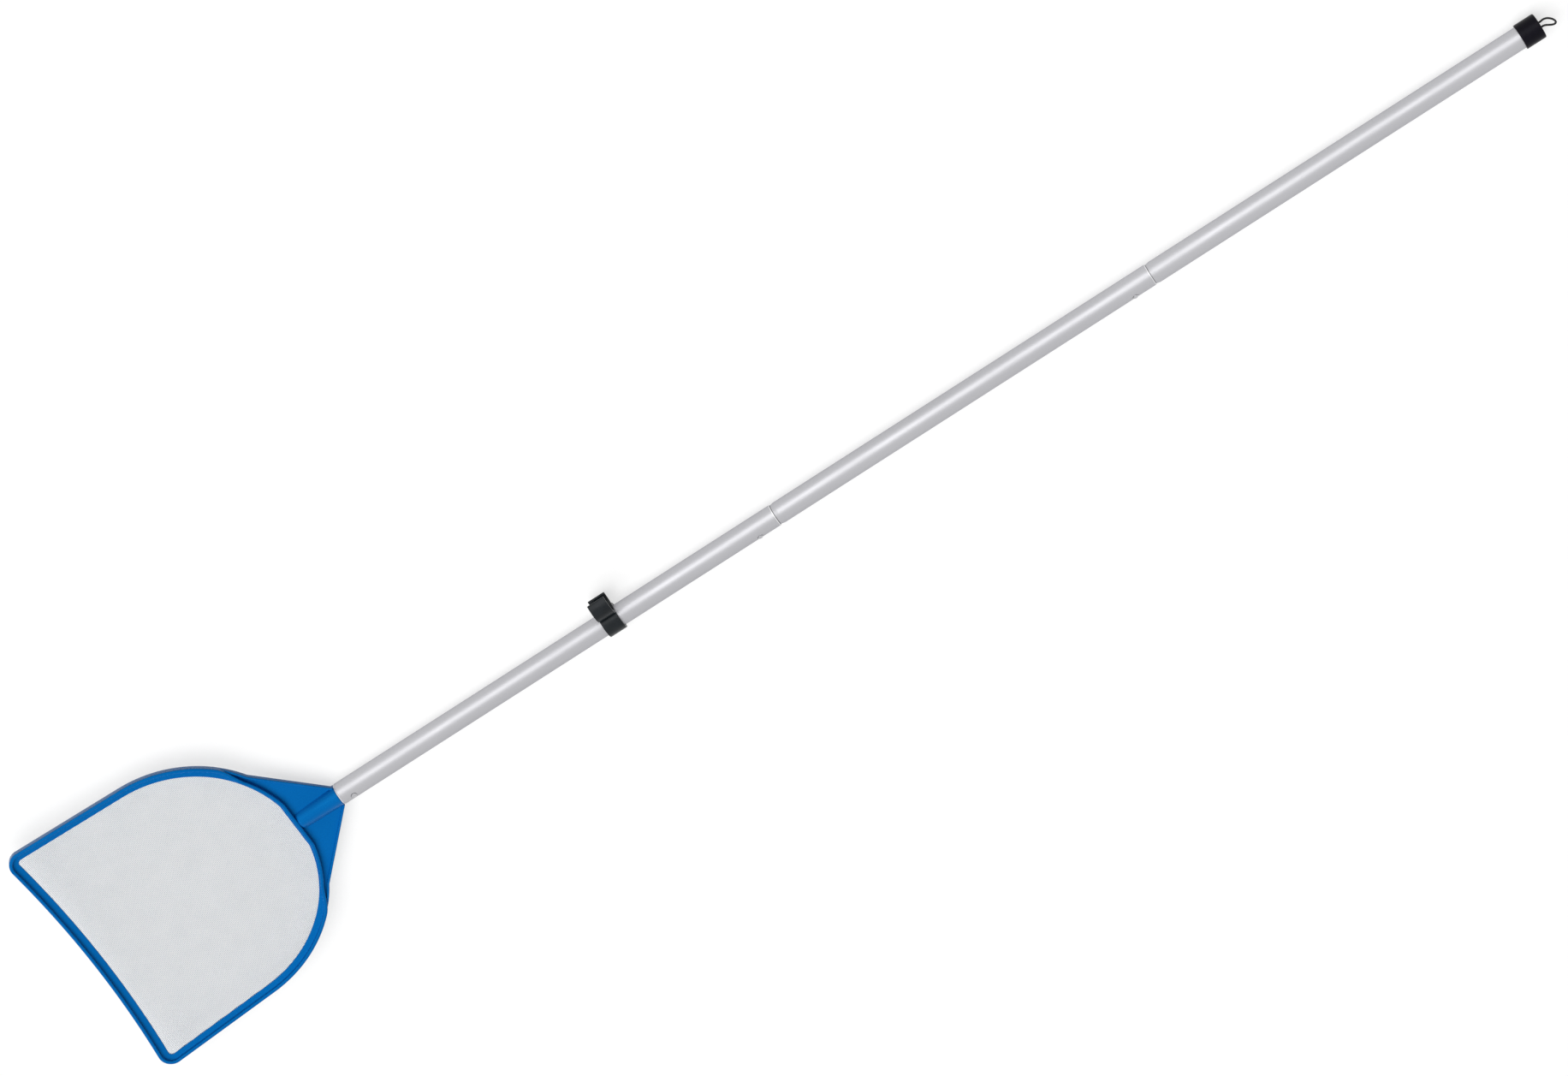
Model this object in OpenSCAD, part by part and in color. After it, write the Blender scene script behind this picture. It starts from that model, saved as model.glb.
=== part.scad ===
// Leaf skimmer net: a D-shaped moulded head with a flat net, on a pole of
// three lapped tubes held by spring buttons, with a storage clip and an end cap.
// Built along X from the neck, where the head meets the pole, towards the handle.
// Millimetres. The finished part stands on z = 0 with its footprint centred.

/* [Pole] */
// Outer diameter of every tube
tube_od = 25.4; // [22:0.1:32]
// Wall of every tube
tube_wall = 0.9; // [0.7:0.1:1.3]
// Full length of one tube section
section_length = 572; // [400:1:700]
// Length of the reduced end that slides into the next section
lap_length = 88; // [70:1:120]
// Length of the shoulder between the reduced end and the full tube
shoulder_length = 5; // [3:0.5:10]
// Radial clearance of a reduced end in the section ahead
lap_gap = 0.1; // [0.05:0.05:0.2]
// Chamfer on the outer edge of each tube end
tube_chamfer = 0.3; // [0.1:0.1:0.5]
// Length of the bevel on the end of the front tube that meets the head
mouth_bevel_length = 1.6; // [0.5:0.1:3]
// Depth of that bevel
mouth_bevel = 0.6; // [0.2:0.1:0.6]

/* [Head outline] */
// Outer radius of the round part of the rim
round_r = 151.5; // [130:0.5:170]
// Distance from the neck to the centre of the round part
round_centre = 195.5; // [185:0.5:205]
// Angle by which each side widens towards the front, in degrees
side_flare = 2.6; // [0:0.1:5]
// Distance from the neck to the middle of the front edge
front_reach = 329.5; // [310:0.5:350]
// Radius of the shallow inward curve of the front edge
front_curve_r = 1250; // [1000:50:3000]
// Outer radius of the two front corners
corner_r = 16; // [13:0.5:25]
// Distance from the neck to the flat back of the rim
back_reach = 47; // [46:0.5:55]
// Outer radius that blends the flat back into the round part
blend_r = 25; // [16:1:40]
// Height of the middle of the rim above the axis of the pole, at the neck
head_rise = 4.4; // [2:0.1:6]
// Angle by which the head rises from the neck to its front, in degrees
head_pitch = 3; // [0:0.1:6]

/* [Rim section] */
// Width of the rim at its sides, from its outer face to the edge of the net
rim_width = 10.1; // [9.7:0.1:11]
// Width that the ledge gains round the back of the rim
back_extra = 2; // [1.8:0.1:3]
// Width that the ledge gains along the front
front_extra = 1.8; // [0:0.1:2.5]
// Height of the rim
rim_height = 9.6; // [8.5:0.1:11]
// Thickness of the outer wall under the bead
rim_wall = 2.4; // [1.8:0.1:2.8]
// Width of the bead that stands along the outer edge
bead_width = 3.9; // [3.4:0.1:4.4]
// Distance from the outer edge of the bead to its crest
crest_x = 2.6; // [2:0.1:3]
// Depth of the bead's two edges below its crest
bead_fall = 1.1; // [0.6:0.1:1.5]
// Width of the slope at the inner foot of the bead
bead_foot = 0.7; // [0.4:0.1:0.9]
// Height of the net above the bottom of the rim
net_height = 4.4; // [3.6:0.1:5.4]
// Thickness of plastic under the net in the ledge
ledge_thickness = 1.3; // [1.1:0.1:2]
// Height of the ledge's lip above the net
lip_height = 0.4; // [0.3:0.1:1]
// Distance by which the wall leans in at its bottom
wall_lean = 0.2; // [0:0.1:0.5]
// Width by which the bead is set in where it backs onto the webs
back_set_in = 6.5; // [5:0.1:6.7]

/* [Net] */
// Thickness of the net
net_thickness = 0.8; // [0.5:0.1:1.2]
// Depth by which the edge of the net goes into the ledge
net_bite = 2; // [1:0.1:2.5]
// Distance between the bars of the net
net_pitch = 18; // [17.5:0.5:30]
// Width of each bar
net_bar = 1.6; // [1:0.1:3]
// Width of the closed border round the net
net_border = 2.6; // [2.2:0.1:4]
// Angle of the weave to the pole, in degrees
net_turn = 6; // [0:1:15]
// Clearance round the edge of the net
net_gap = 0.05; // [0.05:0.05:0.2]

/* [Neck] */
// Radius of the boss where it meets the tube
boss_r = 12.5; // [11.5:0.1:12.7]
// Radius of the boss where it runs into the rim
boss_tail_r = 11.7; // [10:0.1:12.5]
// Rounding of the boss where it ends in the rim
boss_round = 5; // [3:0.5:7]
// Length of the spigot inside the front tube
spigot_length = 62; // [45:1:80]
// Radial clearance of the spigot in the tube
spigot_gap = 0.15; // [0.05:0.05:0.3]
// Wall of the spigot
spigot_wall = 2.6; // [2:0.1:3]
// Chamfer on the end of the spigot
spigot_chamfer = 1; // [0.5:0.1:2]
// Distance from the back of the rim to the blind end of the bore in the boss
boss_floor = 6; // [4:0.5:10]
// Gap between the shoulder of the boss and the end of the tube
neck_gap = 0.3; // [0.1:0.1:1]
// Height of the underside of the webs above the bottom of the rim
web_rise = 0.8; // [0.5:0.1:2]
// Thickness of the two webs beside the boss
web_thickness = 2; // [1.5:0.1:3]
// Thickness of the rib along the edge of each web
rib_thickness = 2.8; // [2:0.1:5]
// Depth of the underside of each rib below that of its web
rib_step = 0.3; // [0.1:0.1:0.4]
// Angle round the rim at which the ribs join it, in degrees
rib_angle = 32; // [28:0.5:40]
// Distance of each rib from the pole axis at the neck
rib_neck_y = 11.7; // [11.5:0.1:12.2]
// Depth of the outer side of the ribs inside the outer face of the rim, where they leave it
rib_inset = 0.5; // [0.4:0.1:1]
// Depth of the top of the ribs below the top of the rim, where they leave it
rib_rim_drop = 1.8; // [0.5:0.1:3]
// Depth of the top of the ribs below the top of the rim, at the neck
rib_neck_drop = 3.3; // [2:0.1:4]

/* [Spring buttons] */
// Diameter of each button
button_d = 6.8; // [5:0.1:8]
// Height by which a button stands out of the tube
button_out = 1.5; // [1:0.1:3]
// Radius of the domed head of a button
button_dome_r = 5.4; // [4.5:0.1:8]
// Length of leaf beyond each side of a button
leaf_foot = 1.6; // [1:0.1:3]
// Radial clearance of a button in its holes
button_gap = 0.3; // [0.2:0.1:0.5]
// Distance from the neck to the button of the head
head_button_x = 15; // [10:0.5:25]
// Distance from a tube end to the button of its joint
joint_button_x = 26; // [15:0.5:40]
// Turn of the head's button from the top towards -Y, in degrees
head_button_turn = 29; // [0:1:90]
// Turn of the joints' buttons from the top towards -Y, in degrees
joint_button_turn = 45; // [0:1:90]
// Thickness of each spring leaf
leaf_thickness = 0.8; // [0.4:0.1:1]
// Width of each spring leaf
leaf_width = 8; // [6:0.5:9]
// Distance from a button to the bend of its spring
leaf_length = 34; // [25:1:40]
// Inner radius of the bend of each spring
leaf_bend_r = 2.1; // [1.5:0.1:3]
// Clearance of the leaf's edges in the bore
leaf_gap = 0.4; // [0.2:0.1:0.6]

/* [Storage clip] */
// Length of the clip along the pole
clip_length = 21; // [15:1:30]
// Wall of the clip
clip_wall = 3.1; // [2:0.1:4]
// Radial clearance of the clip on a tube
clip_gap = 0.1; // [0.05:0.05:0.2]
// Distance from the neck to the clip
clip_x = 348; // [100:1:450]
// Direction from the pole to the second hook, above +Y, in degrees
clip_turn = 22; // [10:1:40]
// Angle between that direction and the mouth of the second hook
clip_mouth_turn = -36; // [-60:1:0]
// Half of the angle that each mouth spans, in degrees
clip_mouth_half = 63; // [50:1:70]
// Radius by which each rounded lip is fuller than the wall
clip_lip = 0.2; // [0:0.1:0.6]

/* [End cap] */
// Wall of the cap round the tube
cap_wall = 2; // [1.5:0.1:3]
// Depth of tube inside the cap
cap_seat = 14; // [8:0.5:25]
// Length of the hollow behind the tube end
cap_hollow = 6.4; // [6:0.1:10]
// Thickness of the end wall
cap_end_wall = 4; // [2:0.5:6]
// Radial clearance of the cap on the tube
cap_gap = 0.05; // [0.05:0.05:0.1]
// Chamfer on the near edge of the cap
cap_chamfer = 0.4; // [0.2:0.1:0.8]
// Radial width of the step that the end of the tube meets
cap_step = 2; // [1.5:0.1:4]
// Rounding of the far edge of the cap
cap_round = 1.6; // [0.5:0.1:3]

/* [Hang loop] */
// Diameter of the cord
cord_d = 2.4; // [2:0.1:2.8]
// Distance of each cord hole from the pole axis
cord_hole_y = 3; // [2.5:0.1:4]
// Radial clearance of the cord in its holes
cord_gap = 0.2; // [0.1:0.1:0.4]
// Radius of the knot
knot_r = 5.4; // [5:0.1:6]
// Thickness of the knot
knot_thickness = 4.4; // [3:0.1:5]
// Radius of the swelling round the edge of the knot
knot_bulge_r = 6; // [5.8:0.1:7]
// Distance from the knot to the inside of the cap's end wall
knot_gap = 1; // [0.5:0.1:1.5]

/* [Hidden] */
$fn = 96;
// Length by which a cutter or a joined piece reaches past a face
over = 1;

// Pole: radii and the places of the tubes
tube_r = tube_od / 2;
tube_bore_r = tube_r - tube_wall;
lap_r = tube_bore_r - lap_gap;
lap_bore_r = lap_r - tube_wall;
section_step = section_length - lap_length;
front_joint_x = section_length;
rear_joint_x = front_joint_x + section_step;
tube_end_x = rear_joint_x + section_step;

// End cap and cord
cap_r = tube_r + cap_gap + cap_wall;
cap_start_x = tube_end_x - cap_seat;
cap_end_x = tube_end_x + cap_hollow + cap_end_wall;
cap_hollow_r = tube_bore_r + tube_wall + cap_gap - cap_step;
cord_r = cord_d / 2;
knot_end_x = cap_end_x - cap_end_wall - knot_gap;
cord_sides = 8;
// Route of the hang loop past the face of the cap: out of one hole and back into the other
loop_route = [[0, 3, 0], [2.5, 3.1, 0.1], [5, 3.8, 0.7], [7.5, 4.2, 1.9], [10, 3.9, 3.4],
              [12.3, 2.7, 4.8], [14.3, 0.8, 5.6], [15.7, -1.6, 5.6], [16.3, -4.2, 4.7],
              [15.8, -6.4, 3.1], [14.2, -7.6, 1.1], [11.8, -7.6, -0.6], [9.2, -6.5, -1.5],
              [6.6, -4.9, -1.4], [4.4, -3.6, -0.7], [2.2, -3, -0.1], [0, -3, 0]];

// Spring buttons and leaves
button_r = button_d / 2;
hole_r = button_r + button_gap;
front_button_x = front_joint_x - joint_button_x;
rear_button_x = rear_joint_x - joint_button_x;
spigot_r = tube_bore_r - spigot_gap;
spigot_bore_r = spigot_r - spigot_wall;
head_leaf_z = leaf_height(spigot_bore_r);
joint_leaf_z = leaf_height(lap_bore_r);

// Height at which the outer face of a leaf's end clears a bore
function leaf_height(bore_r) = sqrt(pow(bore_r - leaf_gap, 2) - pow(leaf_width / 2, 2));

// Clip
clip_bore_r = tube_r + clip_gap;
clip_r = clip_bore_r + clip_wall;
clip_mid_r = clip_bore_r + clip_wall / 2;
clip_lip_r = clip_wall / 2;
hook_spacing = 2 * clip_bore_r + clip_wall;
lower_mouth = clip_turn + 180 - clip_mouth_turn;
upper_mouth = clip_turn + clip_mouth_turn;

// Head: centres and angles of the arcs of its outline
side_normal = [sin(side_flare), cos(side_flare)];
side_along = [-cos(side_flare), sin(side_flare)];
round_c = [-round_centre, 0];
front_c = [-front_reach - front_curve_r, 0];
blend_x = -back_reach - blend_r;
blend_c = [blend_x, sqrt(pow(round_r - blend_r, 2) - pow(blend_x + round_centre, 2))];
blend_end = atan2(blend_c[1], blend_x + round_centre);
side_start = round_c + (round_r - corner_r) * side_normal;
from_front = side_start - front_c;
reach_along = from_front * side_along;
side_length = -reach_along
    - sqrt(pow(reach_along, 2) - from_front * from_front + pow(front_curve_r + corner_r, 2));
corner_c = side_start + side_length * side_along;
front_half_angle = atan2(corner_c[1], corner_c[0] - front_c[0]);
side_end_angle = 90 - side_flare;
corner_sweep = 180 + front_half_angle - side_end_angle;

// Head: heights in its own frame, from the middle of the rim
rim_top = rim_height / 2;
rim_bottom = -rim_top;
net_z = rim_bottom + net_height;
slot_half = net_thickness / 2 + net_gap;
ledge_bottom = net_z - slot_half - ledge_thickness;
lip_z = net_z + net_thickness / 2 + lip_height;
web_bottom = rim_bottom + web_rise;
// Angle over which the rim's section changes beside the webs
section_change = 10;

// Footprint: everything is shifted so that the box's bottom centre is the origin
head_min_x = (corner_c[0] - corner_r) * cos(head_pitch) - rim_top * sin(head_pitch);
pole_h = cap_r;
origin_x = (head_min_x + cap_end_x) / 2;

// Stations of the rim along an arc: [point on the outer face, inward direction, section, extra]
// bend is 1 where the rim curves round the net and -1 where it curves away;
// section goes from 0, the bead set in at the webs, to 1, the bead on the outer edge;
// extra is the width that the ledge gains, from e0 at the arc's start to e1 at its end
function stations(c, r, a0, a1, first, steps, bend, e0, e1) =
    [for (i = [first:steps]) let (t = i / steps, a = a0 + (a1 - a0) * t, d = [cos(a), sin(a)])
        [c + r * d, -bend * d, bend < 0 ? 1 : section_at(a), e0 + (e1 - e0) * t]];

function section_at(a) = min(1, max(0, (a - rib_angle + section_change) / section_change));

half_stations = concat(
    stations(blend_c, blend_r, 0, blend_end, 0, 3, 1, back_extra, back_extra),
    stations(round_c, round_r, blend_end, side_end_angle, 1, 30, 1, back_extra, 0),
    stations(corner_c, corner_r, side_end_angle, side_end_angle + corner_sweep, 0, 9, 1, 0, front_extra),
    stations(front_c, front_curve_r, front_half_angle, 0, 1, 6, -1, front_extra, front_extra));
// The other half, without a second station in the middle of the front
last_half = len(half_stations) - 1;
head_stations = concat(half_stations, [for (i = [last_half - 1:-1:0]) let (s = half_stations[i])
    [[s[0][0], -s[0][1]], [s[1][0], -s[1][1]], s[2], s[3]]]);

// Closed outline round the net, at the distance d outwards from the ledge's inner edge
function net_outline(d) = [for (s = head_stations) s[0] + (rim_width + s[3] - d) * s[1]];

function unit(v) = v / norm(v);

// Puts the neck-based construction on its footprint
module placed() {
    translate([-origin_x, 0, pole_h]) children();
}

// Puts the head's own frame on the neck, tilted up towards its front
module tilted() {
    translate([0, 0, head_rise]) rotate([0, head_pitch, 0]) children();
}

// Turns a shape drawn round Z at the origin to lie round X
module along_pole(x) {
    translate([x, 0, 0]) rotate([0, 90, 0]) children();
}

// Stands a shape on the pole axis at x, with its Z turned from the top towards -Y
module radial(x, turn) {
    translate([x, 0, 0]) rotate([turn, 0, 0]) children();
}

// ---- Head ----

// Section of the rim with the outer edge of its bead at x: [distance inwards, height, share]
// share is 1 for the points that move with the extra width of the ledge
function rim_section(x) = let (slot_x = rim_width - net_bite - 4 * net_gap, foot = x + bead_width)
    concat([[x + wall_lean, rim_bottom, 0], [x + wall_lean + rim_wall, rim_bottom, 0],
            [x + wall_lean + rim_wall, ledge_bottom, 0], [rim_width, ledge_bottom, 1],
            [rim_width, net_z - slot_half, 1], [slot_x, net_z - slot_half, 1],
            [slot_x, net_z + slot_half, 1], [rim_width, net_z + slot_half, 1],
            [rim_width, lip_z, 1], [foot + bead_foot, lip_z + foot_rise, 0],
            [foot, lip_z + foot_rise + bead_foot, 0]], bead_top(x));

// Rounded top of a bead, from its inner edge over the crest to its outer edge at x
function bead_top(x) = [for (a = [0:22.5:180])
    [x + crest_x + (a < 90 ? bead_width - crest_x : crest_x) * cos(a),
     rim_top - bead_fall * (1 - sin(a)), 0]];

// Height that the ledge gains from its lip to the foot of the bead
foot_rise = 0.1;
full_section = rim_section(0);
back_section = rim_section(back_set_in);

module rim() {
    corners = len(full_section);
    count = len(head_stations);
    points = [for (s = head_stations) each [for (k = [0:corners - 1])
        let (q = (1 - s[2]) * back_section[k] + s[2] * full_section[k])
        concat(s[0] + (q[0] + q[2] * s[3]) * s[1], [q[1]])]];
    faces = [for (i = [0:count - 1]) for (k = [0:corners - 1])
        let (a = i * corners + k, b = i * corners + (k + 1) % corners,
             c = (i + 1) % count * corners + (k + 1) % corners, d = (i + 1) % count * corners + k)
        each [[a, c, b], [a, d, c]]];
    polyhedron(points, faces);
}

// Webs that join the rim to the boss, tucked into the middle of the rim's wall
web_tuck = back_set_in + wall_lean + rim_wall / 2;
rib_r = rib_thickness / 2;
rib_rim = round_c + (round_r - rib_inset - rib_r) * [cos(rib_angle), sin(rib_angle)];
web_root = round_c + (round_r - web_tuck - over) * [cos(rib_angle), sin(rib_angle)];
rib_neck = [-neck_gap - rib_r, rib_neck_y];
// Length by which a rib runs on inside the rim
rib_tuck = 4;

module webs() {
    tuck_x = -back_reach - web_tuck;
    translate([0, 0, web_bottom]) linear_extrude(web_thickness) difference() {
        polygon([rib_neck, rib_rim, web_root, [web_root[0], -web_root[1]],
                 [rib_rim[0], -rib_rim[1]], [rib_neck[0], -rib_neck[1]]]);
        intersection() {
            translate(round_c) circle(round_r - web_tuck, $fn = 180);
            translate([tuck_x - round_r, -round_r]) square([round_r, 2 * round_r]);
        }
    }
}

// Section of a rib whose rounded top is at a height: [distance sideways, height]
function rib_section(top) = concat([[-rib_r, web_bottom - rib_step]],
    [for (a = [180:-22.5:0]) [rib_r * cos(a), top + rib_r * (sin(a) - 1)]],
    [[rib_r, web_bottom - rib_step]]);

// Rib along the edge of a web, sloping down from the rim to the neck
module rib() {
    run = unit(rib_neck - rib_rim);
    sideways = [-run[1], run[0]];
    start = rib_section(rim_top - rib_rim_drop);
    end = rib_section(rim_top - rib_neck_drop);
    corners = len(start);
    points = concat([for (q = start) concat(rib_rim - rib_tuck * run + q[0] * sideways, [q[1]])],
                    [for (q = end) concat(rib_neck + q[0] * sideways, [q[1]])]);
    sides = [for (k = [0:corners - 1]) let (next = (k + 1) % corners)
        each [[k, next, corners + next], [k, corners + next, corners + k]]];
    polyhedron(points, concat(sides, [[for (k = [corners - 1:-1:0]) k]],
                              [[for (k = [0:corners - 1]) corners + k]]));
}

// Boss round the pole axis, with a rounded end in the rim, and the spigot ahead of it
module boss() {
    boss_start = -back_reach - web_tuck;
    straight_end = spigot_length - spigot_chamfer;
    end_middle = boss_tail_r - boss_round;
    rotate([0, 90, 0]) rotate_extrude() polygon(concat([[0, boss_start]],
        [for (a = [-90:18:0]) [end_middle + boss_round * cos(a), boss_start + boss_round * (1 + sin(a))]],
        [[boss_r, -neck_gap], [0, -neck_gap]]));
    along_pole(-neck_gap - over) cylinder(r = spigot_r, h = straight_end + neck_gap + over);
    along_pole(straight_end)
        cylinder(r1 = spigot_r, r2 = spigot_r - spigot_chamfer, h = spigot_chamfer);
}

module head_frame() {
    color("#0a6fc2") placed() difference() {
        union() {
            tilted() {
                rim();
                webs();
                rib();
                mirror([0, 1, 0]) rib();
            }
            boss();
        }
        along_pole(boss_floor - back_reach)
            cylinder(r = spigot_bore_r, h = back_reach - boss_floor + spigot_length + over);
        radial(head_button_x, head_button_turn) cylinder(r = hole_r, h = tube_od);
    }
}

// A flat grid of crossed bars inside a closed border
module net() {
    reach = round_r + corner_r;
    lines = floor(reach / net_pitch);
    color("#e6ebee") placed() tilted() translate([0, 0, net_z - net_thickness / 2])
        linear_extrude(net_thickness) {
            difference() {
                polygon(net_outline(net_bite));
                polygon(net_outline(net_bite - net_border));
            }
            intersection() {
                polygon(net_outline(net_bite - net_gap));
                translate([-round_centre, 0]) rotate(net_turn) for (i = [-lines:lines]) {
                    translate([0, i * net_pitch]) square([2 * reach, net_bar], center = true);
                    translate([i * net_pitch, 0]) square([net_bar, 2 * reach], center = true);
                }
            }
        }
}

// ---- Pole ----

// Section of the plain tube from x = a, its bevelled mouth, to x = b
function plain_tube(a, b) = [[tube_bore_r, a], [tube_r - mouth_bevel, a],
    [tube_r, a + mouth_bevel_length], [tube_r, b - tube_chamfer], [tube_r - tube_chamfer, b],
    [tube_bore_r, b]];

// Section of a tube whose first stretch is reduced, up to x = joint
function lapped_tube(joint, b) = [[lap_bore_r, joint - lap_length],
    [lap_r - tube_chamfer, joint - lap_length], [lap_r, joint - lap_length + tube_chamfer],
    [lap_r, joint], [tube_r, joint + shoulder_length], [tube_r, b - tube_chamfer],
    [tube_r - tube_chamfer, b], [tube_bore_r, b], [tube_bore_r, joint + shoulder_length],
    [lap_bore_r, joint]];

module turned(section) {
    along_pole(0) rotate_extrude() polygon(section);
}

module button_hole(x, turn) {
    radial(x, turn) cylinder(r = hole_r, h = tube_od);
}

module front_tube() {
    color("#c9cbd0") placed() difference() {
        turned(plain_tube(0, front_joint_x));
        button_hole(head_button_x, head_button_turn);
        button_hole(front_button_x, joint_button_turn);
    }
}

module middle_tube() {
    color("#c9cbd0") placed() difference() {
        turned(lapped_tube(front_joint_x, rear_joint_x));
        button_hole(front_button_x, joint_button_turn);
        button_hole(rear_button_x, joint_button_turn);
    }
}

module rear_tube() {
    color("#c9cbd0") placed() difference() {
        turned(lapped_tube(rear_joint_x, tube_end_x));
        button_hole(rear_button_x, joint_button_turn);
    }
}

// ---- Spring buttons ----

// A button with a domed head, standing on its leaf
module button(x, turn, leaf_z) {
    top = tube_r + button_out;
    color("#d8d9dc") placed() radial(x, turn) intersection() {
        translate([0, 0, leaf_z]) cylinder(r = button_r, h = top - leaf_z);
        translate([0, 0, top - button_dome_r]) sphere(button_dome_r);
    }
}

// Outline of a folded leaf: out along one leg, round the bend and back, then inside again
module leaf_section(leaf_z) {
    foot = button_r + leaf_foot;
    outside = concat([[-foot, leaf_z], [foot, leaf_z]], leaf_bend(leaf_bend_r + leaf_thickness));
    inside = concat([[-foot, leaf_z - leaf_thickness], [foot, leaf_z - leaf_thickness]],
                    leaf_bend(leaf_bend_r));
    polygon(concat(outside, [[foot, -leaf_z], [-foot, -leaf_z],
                             [-foot, leaf_thickness - leaf_z], [foot, leaf_thickness - leaf_z]],
                   [for (i = [len(inside) - 1:-1:0]) inside[i]]));
}

function leaf_bend(r) = [for (a = [90:-22.5:-90]) [leaf_length + r * cos(a), r * sin(a)]];

// A folded leaf whose two legs press on opposite sides of the bore
module spring(x, turn, leaf_z) {
    color("#9fa3a8") placed() radial(x, turn) rotate([90, 0, 0])
        linear_extrude(leaf_width, center = true) leaf_section(leaf_z);
}

module head_button() { button(head_button_x, head_button_turn, head_leaf_z); }
module front_joint_button() { button(front_button_x, joint_button_turn, joint_leaf_z); }
module rear_joint_button() { button(rear_button_x, joint_button_turn, joint_leaf_z); }
module head_spring() { spring(head_button_x, head_button_turn, head_leaf_z); }
module front_joint_spring() { spring(front_button_x, joint_button_turn, joint_leaf_z); }
module rear_joint_spring() { spring(rear_button_x, joint_button_turn, joint_leaf_z); }

// ---- Storage clip ----

// Wedge that opens a hook's mouth, centred on the angle a
module mouth(a) {
    far = 2 * clip_r;
    polygon([[0, 0], far * [cos(a - clip_mouth_half), sin(a - clip_mouth_half)],
             far * [cos(a), sin(a)],
             far * [cos(a + clip_mouth_half), sin(a + clip_mouth_half)]]);
}

// One hook with rounded lips
module hook(a) {
    difference() {
        circle(clip_r);
        circle(clip_bore_r);
        mouth(a);
    }
    for (side = [-1, 1]) {
        lip = a + side * clip_mouth_half;
        translate((clip_mid_r + clip_lip) * [cos(lip), sin(lip)]) circle(clip_lip_r);
    }
}

module storage_clip() {
    second = hook_spacing * [cos(clip_turn), sin(clip_turn)];
    color("#24282d") placed() translate([clip_x, 0, 0]) rotate([90, 0, 90])
        linear_extrude(clip_length) difference() {
            union() {
                hook(lower_mouth);
                translate(second) hook(upper_mouth);
            }
            circle(clip_bore_r);
            translate(second) circle(clip_bore_r);
        }
}

// ---- End cap and hang loop ----

module end_cap() {
    hole = cord_r + cord_gap;
    seat_r = tube_r + cap_gap;
    hollow_end = cap_end_x - cap_end_wall;
    color("#141319") placed() difference() {
        along_pole(0) rotate_extrude() polygon([
            [seat_r, cap_start_x], [cap_r - cap_chamfer, cap_start_x],
            [cap_r, cap_start_x + cap_chamfer],
            for (a = [0:22.5:90]) [cap_r + cap_round * (cos(a) - 1), cap_end_x + cap_round * (sin(a) - 1)],
            [0, cap_end_x], [0, hollow_end], [cap_hollow_r, hollow_end],
            [cap_hollow_r, tube_end_x], [seat_r, tube_end_x]]);
        for (side = [-1, 1]) translate([0, side * cord_hole_y, 0])
            along_pole(hollow_end - over) cylinder(r = hole, h = cap_end_wall + 2 * over);
    }
}

// Whole route of the cord, from the knot out through the cap and back
loop_points = concat([[knot_end_x, cord_hole_y, 0]],
    [for (p = loop_route) [cap_end_x + p[0], p[1], p[2]]],
    [[knot_end_x, -cord_hole_y, 0]]);
// Direction square to the loop, never along the cord
loop_square = unit([-1, 0, 3]);

function loop_dir(i) =
    let (last = len(loop_points) - 1)
    i <= 1 ? [1, 0, 0] : i >= last - 1 ? [-1, 0, 0]
    : unit(loop_points[i + 1] - loop_points[i - 1]);

function loop_ring(i) =
    let (t = loop_dir(i), a = unit(cross(t, loop_square)), b = cross(t, a))
    [for (k = [0:cord_sides - 1])
        loop_points[i] + cord_r * (cos(360 * k / cord_sides) * a + sin(360 * k / cord_sides) * b)];

module hang_loop() {
    rings = len(loop_points);
    points = [for (i = [0:rings - 1]) each loop_ring(i)];
    sides = [for (i = [0:rings - 2]) for (k = [0:cord_sides - 1])
        let (a = i * cord_sides + k, b = i * cord_sides + (k + 1) % cord_sides)
        each [[a, b, b + cord_sides], [a, b + cord_sides, a + cord_sides]]];
    start = [[for (k = [cord_sides - 1:-1:0]) k]];
    end = [[for (k = [0:cord_sides - 1]) (rings - 1) * cord_sides + k]];
    color("#0e0e10") placed() polyhedron(points, concat(start, sides, end));
}

module loop_knot() {
    color("#0e0e10") placed() along_pole(knot_end_x - knot_thickness) intersection() {
        cylinder(r = knot_r, h = knot_thickness);
        translate([0, 0, knot_thickness / 2]) sphere(knot_bulge_r);
    }
}

head_frame();
net();
front_tube();
middle_tube();
rear_tube();
head_button();
front_joint_button();
rear_joint_button();
head_spring();
front_joint_spring();
rear_joint_spring();
storage_clip();
end_cap();
hang_loop();
loop_knot();
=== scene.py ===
"""Leaf skimmer net: a blue moulded head with a woven net, on a pole of three aluminium tubes."""
import math

import bpy
import numpy as np
from mathutils import Matrix, Vector


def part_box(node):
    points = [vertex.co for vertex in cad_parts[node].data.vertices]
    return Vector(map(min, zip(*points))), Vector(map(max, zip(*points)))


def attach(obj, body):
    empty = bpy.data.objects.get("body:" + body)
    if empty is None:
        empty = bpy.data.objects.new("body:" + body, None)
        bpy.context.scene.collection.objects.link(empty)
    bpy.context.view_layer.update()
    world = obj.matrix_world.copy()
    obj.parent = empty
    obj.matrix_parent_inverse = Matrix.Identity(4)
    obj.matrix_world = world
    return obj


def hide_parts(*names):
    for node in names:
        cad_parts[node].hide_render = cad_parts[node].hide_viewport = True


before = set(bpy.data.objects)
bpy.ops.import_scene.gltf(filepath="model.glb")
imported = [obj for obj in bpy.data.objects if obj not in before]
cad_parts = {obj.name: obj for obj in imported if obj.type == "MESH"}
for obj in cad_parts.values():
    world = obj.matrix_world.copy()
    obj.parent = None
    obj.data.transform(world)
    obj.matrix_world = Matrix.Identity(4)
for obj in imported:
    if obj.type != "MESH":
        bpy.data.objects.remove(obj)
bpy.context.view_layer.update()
scene = bpy.context.scene
scene.view_settings.view_transform = "Standard"


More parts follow.
